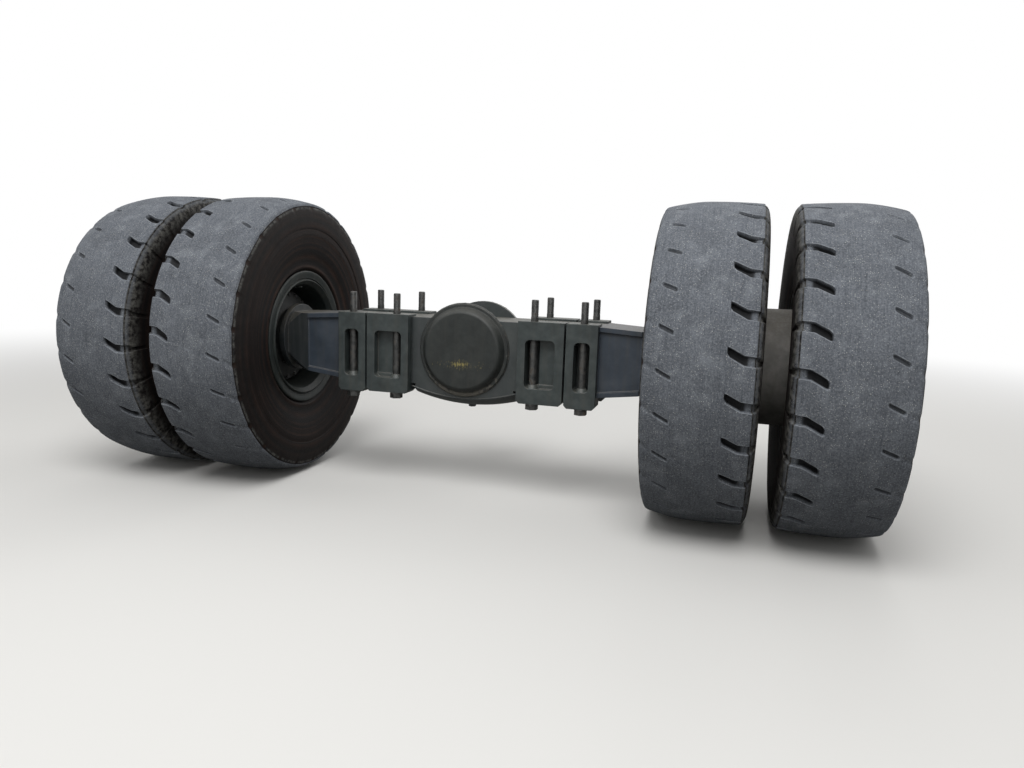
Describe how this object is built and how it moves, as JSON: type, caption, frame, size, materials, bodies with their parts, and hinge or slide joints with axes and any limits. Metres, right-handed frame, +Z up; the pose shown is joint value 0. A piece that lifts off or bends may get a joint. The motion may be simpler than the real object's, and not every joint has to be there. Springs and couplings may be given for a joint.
{
  "type": "reach stacker drive axle with twin wheels",
  "caption": "Heavy planetary drive axle with a box beam, windowed clamp columns, long clamp bolts and worn twin tyres on multi-piece rims at each end.",
  "frame": {"origin": "centre of the clamp bolt pattern, in the plane of the frame seat on top of the clamp columns", "axes": "+X across the machine to the right of the picture, -Y to the machine's front, +Z up, out of the frame seat"},
  "size_m": [4.2, 1.592, 1.592],
  "materials": {
    "axle_paint": "satin, dusty",
    "cover_paint": "satin, chipped",
    "drum_paint": "satin, brown dust",
    "rim_paint": "satin, dusty",
    "spacer_steel": "matte, dusty",
    "clamp_iron": "matte",
    "bolt_steel": "oiled, dusty",
    "machined_steel": "oiled",
    "tyre_rubber": "matte, worn"
  },
  "bodies": {
    "axle": {"axle_housing": "axle_paint", "differential_cover": "cover_paint", "differential_carrier": "axle_paint", "drive_flange": "machined_steel", "brake_housings": "drum_paint", "wide_column_front_right": "axle_paint", "narrow_column_front_right": "axle_paint", "wide_column_rear_right": "axle_paint", "narrow_column_rear_right": "axle_paint", "wide_column_front_left": "axle_paint", "narrow_column_front_left": "axle_paint", "wide_column_rear_left": "axle_paint", "narrow_column_rear_left": "axle_paint", "clamp_bolts_right": "bolt_steel", "clamp_bolts_left": "bolt_steel"},
    "right_wheels": {"right_inner_rim": "rim_paint", "right_outer_rim": "rim_paint", "right_spacer_band": "spacer_steel", "right_hub": "drum_paint", "right_planet_cover": "cover_paint", "right_wheel_clamps": "clamp_iron", "right_inner_tyre": "tyre_rubber", "right_outer_tyre": "tyre_rubber"},
    "left_wheels": {"left_inner_rim": "rim_paint", "left_outer_rim": "rim_paint", "left_spacer_band": "spacer_steel", "left_hub": "drum_paint", "left_planet_cover": "cover_paint", "left_wheel_clamps": "clamp_iron", "left_inner_tyre": "tyre_rubber", "left_outer_tyre": "tyre_rubber"}
  },
  "joints": [
    {"name": "right_wheels_roll", "type": "hinge", "parent": "axle", "child": "right_wheels", "pos_m": [1.5495, 0, -0.175], "axis": [1, 0, 0], "continuous": true},
    {"name": "left_wheels_roll", "type": "hinge", "parent": "axle", "child": "left_wheels", "pos_m": [-1.5495, 0, -0.175], "axis": [1, 0, 0], "continuous": true}
  ]
}
